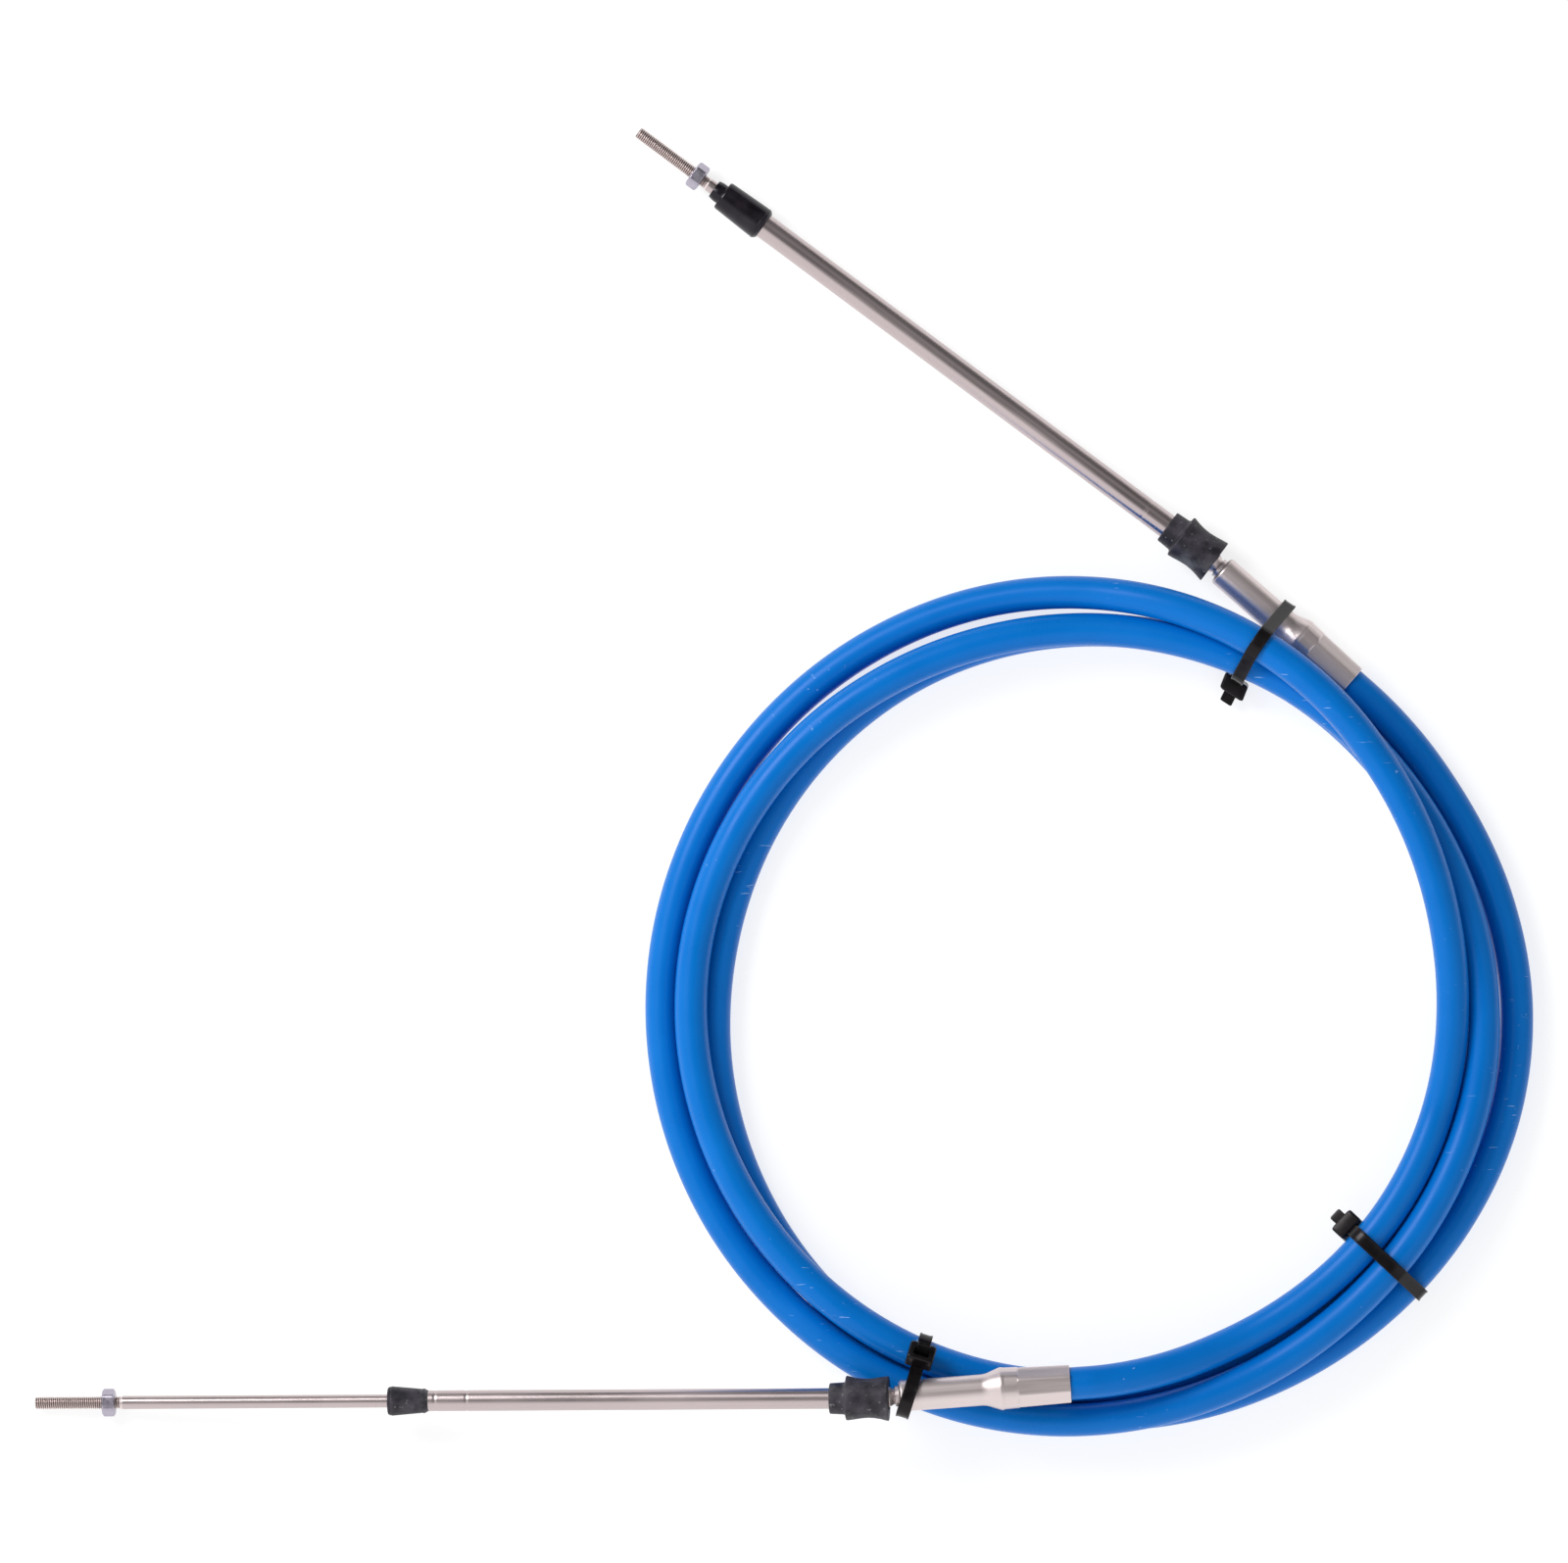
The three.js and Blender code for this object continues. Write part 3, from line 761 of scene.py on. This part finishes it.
def make_tube(name, end):
    bore = ROD_RADIUS + SEAT_GAP / 3
    cavity = BALL_RADIUS + SEAT_GAP
    back = math.pi - math.acos(CUP_BACK / cavity)
    front = math.asin(bore / cavity)
    hollow = []
    for i in range(BALL_STEPS + 1):
        turn = front + (back - front) * i / BALL_STEPS
        hollow.append((cavity * math.cos(turn), cavity * math.sin(turn), 0))
    radius = end["tube_radius"]
    swages = []
    for swage in sorted(end["swages"]):
        swages += [
            (swage - SWAGE_RUN, radius, 3 * ROUND),
            (swage, radius - SWAGE_DEPTH, 3 * ROUND),
            (swage + SWAGE_RUN, radius, 3 * ROUND),
        ]
    outline = rounded([
        *hollow,
        (-CUP_BACK, CUP_RADIUS, 4 * ROUND),
        (CUP_FRONT, CUP_RADIUS, 6 * ROUND),
        (CUP_FRONT + CUP_TAPER, radius, 6 * ROUND),
        *swages,
        (end["tube_length"], radius, 3 * ROUND),
        (end["tube_length"], bore, 2 * ROUND),
    ])
    return crisp(loft(name + "_tube_body", turned(outline), joined=True))


def make_boot(name, end):
    swing = BOOT_BACK * math.sin(math.radians(SWIVEL_ANGLE))
    hole = NECK_RADIUS + swing + SEAT_GAP
    grip = end["tube_radius"] + SEAT_GAP / 3
    inside = CUP_RADIUS + SEAT_GAP
    radius = end["boot_radius"]
    middle = (BOOT_BODY_FRONT - BOOT_BACK) / 2
    outline = rounded([
        (-BOOT_BACK, hole, 4 * ROUND),
        (-BOOT_BACK, radius, 5 * ROUND),
        (middle, radius - 2 * BOOT_WAIST, 50 * ROUND),
        (BOOT_BODY_FRONT, radius, 7 * ROUND),
        (BOOT_BODY_FRONT + COLLAR_FILLET, end["collar_radius"] + COLLAR_FILLET, 9 * ROUND),
        (BOOT_FRONT, end["collar_radius"], 5 * ROUND),
        (BOOT_FRONT, grip, 3 * ROUND),
        (CUP_FRONT + CUP_TAPER + SEAT_GAP, grip, 0),
        (CUP_FRONT + SEAT_GAP, inside, 0),
        (-BOOT_BACK + BOOT_WALL, inside, 0),
        (-BOOT_BACK + BOOT_WALL, hole, 3 * ROUND),
    ])

    def section(along, radius, turn):
        """Rims that are worn out of round, more so towards the ends of the body."""
        if radius < inside + BOOT_WALL / 2:
            return radius
        wave = math.sin(2 * turn + 0.8) + 0.6 * math.sin(3 * turn + along / BOOT_WALL)
        return radius + BOOT_RIM_WAVE * wave * abs(along - middle) / BOOT_BACK

    return loft(name + "_boot_rubber", turned(outline, section), joined=True)


def make_wiper(name, end):
    back = end["tube_length"] - WIPER_GRIP
    front = back + end["wiper_length"]
    lip_front = front + end["lip_length"]
    grip = end["tube_radius"] + SEAT_GAP / 3
    bore = ROD_RADIUS + SEAT_GAP / 2
    outline = rounded([
        (back, grip, 2 * ROUND),
        (back, end["wiper_back"] - WIPER_ROUND, 3 * ROUND),
        (back + WIPER_ROUND, end["wiper_back"], 8 * ROUND),
        (back + WIPER_ROUND + 4 * WIPER_GROOVE, end["wiper_back"], WIPER_GROOVE),
        (back + WIPER_ROUND + 5 * WIPER_GROOVE, end["wiper_back"] - WIPER_GROOVE, WIPER_GROOVE / 2),
        (back + WIPER_ROUND + 8 * WIPER_GROOVE, end["wiper_back"] - WIPER_GROOVE / 2, WIPER_GROOVE),
        (front - WIPER_ROUND / 2, end["wiper_front"], 5 * ROUND),
        (front, end["wiper_front"] - WIPER_ROUND / 3, 3 * ROUND),
        (front, end["lip_radius"], 1.5 * ROUND),
        (front + end["lip_length"] / 2, end["lip_radius"], 5 * ROUND),
        (lip_front, end["lip_radius"] - LIP_TAPER, 3 * ROUND),
        (lip_front, bore, 2 * ROUND),
        (end["tube_length"] + SEAT_GAP, bore, 0),
        (end["tube_length"] + SEAT_GAP, grip, 0),
    ])
    return crisp(loft(name + "_wiper_rubber", turned(outline), joined=True))


def thread_ridge(along, turn):
    """How deep the thread is cut at a place, from 0 on the crest to 1 in the root."""
    phase = (along / THREAD_PITCH - turn / (2 * math.pi)) % 1
    return min(max((1 + 2 * THREAD_FLAT) * abs(2 * phase - 1) - THREAD_FLAT, 0), 1)


def make_rod(name, end, thread_steel):
    back = end["rod_reach"] - end["rod_length"]
    tip = end["rod_reach"]
    start = tip - THREAD_LENGTH
    count = round(THREAD_LENGTH / THREAD_PITCH * THREAD_SAMPLES)
    thread = [(start + THREAD_LENGTH * i / count, THREAD_RADIUS) for i in range(1, count)]
    thread = [(along, min(radius, THREAD_RADIUS - THREAD_CHAMFER + tip - along)) for along, radius in thread]
    outline = [
        (back, ROD_RADIUS - THREAD_CHAMFER),
        (back + THREAD_CHAMFER, ROD_RADIUS),
        (start - THREAD_CHAMFER, ROD_RADIUS),
        (start, THREAD_RADIUS),
        *thread,
        (tip, THREAD_RADIUS - THREAD_CHAMFER),
    ]

    def section(along, radius, turn):
        fade_in = smooth_step(start, start + 2 * THREAD_PITCH, along)
        root = THREAD_RADIUS - THREAD_DEPTH * thread_ridge(along, turn) * fade_in
        return min(radius, root) if along > start else radius

    rod = crisp(loft(name + "_rod_steel", turned(outline, section), caps=True))
    rod.data.materials.append(thread_steel)
    for face in rod.data.polygons:
        face.material_index = 0 if face.center.x > start else 1
    return rod


def make_nut(name, end):
    corner = NUT_FLATS / math.sqrt(3)
    chamfer = corner - NUT_FLATS / 2
    half = NUT_THICKNESS / 2
    hole = THREAD_RADIUS + SEAT_GAP / 10
    facet = math.pi / 3
    middle = end["rod_reach"] - NUT_SEAT

    def section(along, radius, turn):
        if radius <= hole + chamfer:
            return radius
        lean = math.cos(turn % facet - facet / 2)
        inset = half - abs(along - middle)
        cone = NUT_FLATS / 2 - NUT_BEVEL + (corner - NUT_FLATS / 2 + NUT_BEVEL) * inset / chamfer
        return min(NUT_FLATS / 2 / lean, corner - NUT_BEVEL, cone)

    rise = [chamfer * i / CHAMFER_STEPS for i in range(CHAMFER_STEPS + 1)]
    outline = [(middle - half, hole + NUT_SINK)]
    outline += [(middle - half + step, corner) for step in rise]
    outline += [(middle + half - step, corner) for step in reversed(rise)]
    outline += [(middle + half, hole + NUT_SINK), (middle + half - NUT_SINK, hole)]
    outline += [(middle - half + NUT_SINK, hole)]
    return crisp(loft(name + "_nut_zinc", turned(outline, section), joined=True))


# Cable ties, in a frame with X along the bundle, Y across it and Z up


def bow_at(tie, across):
    """How far a bowed strap lies off its straight line at a place across the bundle."""
    return tie["bow"] * max(1 - (across / BOW_REACH) ** 2, 0)


def crossings(points, radius, tie):
    """Where a line of points crosses a strap: circles (across, height, radius) at its edges."""
    across = direction(tie["turn"])
    normal = direction(tie["turn"] + 90)
    middle = Vector((*tie["middle"], 0))
    circles = []

    def aside(place_at):
        return place_at.dot(normal) - bow_at(tie, place_at.dot(across))

    for before, after in zip(points, points[1:]):
        start = before - middle
        step = after - before
        share = aside(start) / (aside(start) - aside(start + step))
        spot = start + step * share
        offset = spot.dot(across)
        if not 0 <= share < 1 or abs(offset) > TIE_REACH:
            continue
        slant = step.length / abs(step.dot(normal))
        drift = STRAP_WIDTH / 2 * step.dot(across) / step.dot(normal)
        circles.append((offset - drift, spot.z, radius * slant))
        circles.append((offset + drift, spot.z, radius * slant))
    return circles


def strap_point(circles, turn, clear):
    """The strap's place in the direction turn, a distance clear off the bundle."""
    reach = [a * math.cos(turn) + h * math.sin(turn) + r for a, h, r in circles]
    across, height, radius = circles[reach.index(max(reach))]
    return Vector((
        across + (radius + clear) * math.cos(turn),
        height + (radius + clear) * math.sin(turn),
    ))


def strap_loop(circles):
    """Rings round the bundle: a flat strap with rounded rims that stand a little proud."""
    half = STRAP_WIDTH / 2
    rim = STRAP_EDGE
    dip = STRAP_DIP
    top = STRAP_THICKNESS
    section = [
        (-half, rim), (-half, top - rim), (-half + rim / 3, top - rim / 3), (-half + rim, top),
        (-half + 2 * rim, top), (-half + 3 * rim, top - dip), (0, top - dip),
        (half - 3 * rim, top - dip), (half - 2 * rim, top), (half - rim, top),
        (half - rim / 3, top - rim / 3), (half, top - rim), (half, rim), (half - rim, 0),
        (-half + rim, 0),
    ]
    rings = []
    for i in range(STRAP_STEPS):
        turn = 2 * math.pi * (i + 0.5) / STRAP_STEPS
        ring = []
        for along, clear in section:
            spot = strap_point(circles, turn, STRAP_GAP + clear)
            ring.append((along, spot.x, spot.y))
        rings.append(ring)
    return rings


def block_rings(levels):
    """Rounded rectangles up +Z for levels of (height, half width, half length, corner, shift)."""
    rings = []
    for height, wide, long, corner, shift in levels:
        ring = []
        for quarter in range(4):
            for step in range(CORNER_STEPS + 1):
                turn = math.pi / 2 * (quarter + step / CORNER_STEPS)
                side_x = 1 if quarter in (0, 3) else -1
                side_y = 1 if quarter in (0, 1) else -1
                x = side_x * (wide - corner) + corner * math.cos(turn)
                y = side_y * (long - corner) + corner * math.sin(turn)
                ring.append((x, y + shift, height))
        rings.append(ring)
    return rings


def head_rings():
    """The tie's head, with rounded shoulders and the slot that the strap's end comes out of."""
    wide, long, tall = HEAD_WIDTH / 2, HEAD_LENGTH / 2, HEAD_THICKNESS
    slot_wide, slot_long = STRAP_WIDTH / 2 + SLOT_ROOM, SLOT_LENGTH / 2
    top_inset = 4 * HEAD_BEVEL
    return block_rings([
        (0, wide - HEAD_FOOT, long - HEAD_FOOT, HEAD_CORNER, 0),
        (HEAD_FOOT, wide, long, HEAD_CORNER, 0),
        (tall - HEAD_SHOULDER, wide, long, HEAD_CORNER, 0),
        (tall - HEAD_RISE, wide - HEAD_BEVEL, long - HEAD_BEVEL, HEAD_CORNER, 0),
        (tall, wide - top_inset, long - top_inset, HEAD_CORNER, 0),
        (tall, slot_wide + HEAD_BEVEL, slot_long + HEAD_BEVEL, 3 * ROUND, SLOT_SHIFT),
        (tall - HEAD_BEVEL, slot_wide, slot_long, 2.5 * ROUND, SLOT_SHIFT),
        (tall - SLOT_DEPTH, slot_wide, slot_long, 2.5 * ROUND, SLOT_SHIFT),
    ])


def tail_rings():
    wide, thick = STRAP_WIDTH / 2, STRAP_THICKNESS / 2
    top = HEAD_THICKNESS + TAIL_LENGTH
    corner = 3 * ROUND
    return block_rings([
        (10 * ROUND, wide, thick, corner, 0),
        (top - 6 * ROUND, wide, thick, corner, 0),
        (top - 2 * ROUND, wide - 1.5 * ROUND, thick, corner, 0),
        (top, wide - 5 * ROUND, thick - ROUND, corner, 0),
    ])


def make_tie(tie, lines, material, offset):
    circles = [c for points, radius in lines for c in crossings(points, radius, tie)]
    loop = loft(tie["name"] + "_strap", strap_loop(circles), joined=True)
    turn = math.radians(tie["head_turn"])
    back = Vector((math.sin(turn), -math.cos(turn)))
    seat = strap_point(circles, turn, STRAP_GAP) + back * tie["head_slide"]
    onto_head = Matrix.Translation((0, seat.x, seat.y)) @ Matrix.Rotation(turn - math.pi / 2, 4, "X")
    head = loft(tie["name"] + "_head", head_rings(), caps=True)
    tail = loft(tie["name"] + "_tail", tail_rings(), caps=True)
    for part in (head, tail):
        part.data.transform(onto_head)
    whole = Matrix.Translation(Vector((*tie["middle"], 0)) + offset)
    whole @= Matrix.Rotation(math.radians(tie["turn"] - 90), 4, "Z")
    for part in (loop, head, tail):
        for vertex in part.data.vertices:
            vertex.co.x -= bow_at(tie, vertex.co.y)
        part.matrix_world = whole
        crisp(part)
        place(part, "root", "nylon", material, tie["name"])


# Camera, floor and light


def make_camera():
    data = bpy.data.cameras.new("camera")
    reach = CAMERA_HEIGHT - FOCUS_HEIGHT
    data.lens = data.sensor_width * reach / (PHOTO_WIDTH * PIXEL)
    data.clip_end = 4 * CAMERA_HEIGHT
    camera = bpy.data.objects.new("camera", data)
    camera.location = (0, 0, CAMERA_HEIGHT)
    bpy.context.scene.collection.objects.link(camera)
    bpy.context.scene.camera = camera


def make_floor():
    half = 6.0
    mesh = bpy.data.meshes.new("floor")
    corners = [(-half, -half, 0), (half, -half, 0), (half, half, 0), (-half, half, 0)]
    mesh.from_pydata(corners, [], [(0, 1, 2, 3)])
    floor = bpy.data.objects.new("floor", mesh)
    paint = Paint(bpy.data.materials.new("pale_floor"))
    glow = {"Emission Color": grey(1.0), "Emission Strength": FLOOR_GLOW}
    paint.put(paint.shader, {"Base Color": grey(FLOOR_GREY), "Roughness": 0.9, **glow})
    mesh.materials.append(paint.owner)
    bpy.context.scene.collection.objects.link(floor)


def make_light(name, place_at, size, power):
    data = bpy.data.lights.new(name, "AREA")
    data.shape = "RECTANGLE"
    data.size, data.size_y = size
    data.energy = power
    light = bpy.data.objects.new(name, data)
    light.location = place_at
    light.rotation_euler = Vector(place_at).to_track_quat("Z", "Y").to_euler()
    bpy.context.scene.collection.objects.link(light)


def make_world():
    """Soft light all round: a bright side towards -Y, a dim far side, and a dark lens overhead."""
    paint = Paint(bpy.data.worlds.new("studio"), "Background")
    way = paint.add("TexCoord", {}, "Generated")

    def facing(aim):
        spot = {0: way, 1: Vector(aim).normalized()}
        return paint.add("VectorMath", spot, "Value", operation="DOT_PRODUCT")

    bright = paint.ramp(facing(BRIGHT_SIDE), 0.05, 0.75, 0.5, 1.1)
    dim = paint.ramp(facing(DIM_SIDE), 0.35, 0.85, 1.0, 0.28)
    lens = paint.ramp(facing((0, 0, 1)), 0.86, 0.985, 1.0, 0.2)
    shade = paint.add("Math", {0: dim, 1: lens}, operation="MULTIPLY")
    level = paint.add("Math", {0: bright, 1: shade}, operation="MULTIPLY")
    paint.put(paint.shader, {"Strength": level, "Color": grey(1.0)})
    bpy.context.scene.world = paint.owner


def make_ends(offset, satin, steel, thread, zinc, rubber, gloss):
    for name, end in ENDS.items():
        ball = ball_of(end) + offset
        turn = Matrix.Rotation(math.radians(end["hub_heading"]), 4, "Z")
        hub = make_hub(name)
        hub.matrix_world = Matrix.Translation(ball) @ turn
        place(hub, "root", "steel", satin, name + "_hub")
        heading = Matrix.Rotation(math.radians(end["sleeve_heading"]), 4, "Z")
        lean = Matrix.Rotation(-math.radians(end["sleeve_pitch"]), 4, "Y")
        sleeve = Matrix.Translation(ball) @ heading @ lean
        wiper_rubber = gloss if name == "upper" else rubber
        wiper_slot = "wiper_rubber" if name == "upper" else "boot_rubber"
        sliding, swivelling = name + "_slider", name + "_sleeve"
        for piece, body, slot, material, node in (
            (make_tube(name, end), swivelling, "steel", steel, "_tube"),
            (make_wiper(name, end), swivelling, wiper_slot, wiper_rubber, "_wiper"),
            (make_rod(name, end, thread), sliding, "steel", steel, "_rod"),
            (make_nut(name, end), sliding, "zinc", zinc, "_nut"),
        ):
            piece.matrix_world = sleeve
            place(piece, body, slot, material, name + node)
        boot = make_boot(name, end)
        boot.matrix_world = sleeve
        boot.data.materials.append(rubber)
        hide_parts(name + "_boot")
        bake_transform(boot)


def coil_offset(frame):
    """From the coil's centre to the frame's origin, from where the CAD has the lower ball."""
    swivel = next(joint for joint in frame["joints"] if joint["name"] == "lower_swivel")
    return Vector(swivel["pos_m"]) - ball_of(ENDS["lower"])


def main():
    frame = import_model()
    make_camera()
    make_floor()
    offset = coil_offset(frame)
    nylon = nylon_material()
    make_jacket(jacket_material(), offset)
    make_ends(
        offset,
        steel_material("satin_steel", SATIN_TONE, 0.34, 0.88),
        steel_material("drawn_steel", DRAWN_TONE, 0.22, 1),
        thread_material(),
        zinc_material(),
        rubber_material("boot_rubber", BOOT_DARK, BOOT_LIGHT, 0.75, 0.55),
        rubber_material("wiper_rubber", WIPER_DARK, WIPER_LIGHT, 0.015, 0.22),
    )
    points = cable_route()
    lines = [(points, JACKET_RADIUS)]
    for end in ENDS.values():
        front = mouth_of(end) + direction(end["hub_heading"]) * HUB_LENGTH
        lines.append(([mouth_of(end), front], HUB_RADIUS))
    for tie in TIES:
        make_tie(tie, lines, nylon, offset)
    make_world()
    make_light("key", KEY_PLACE, KEY_SIZE, KEY_POWER)
    bpy.context.scene.view_settings.view_transform = "Standard"


main()
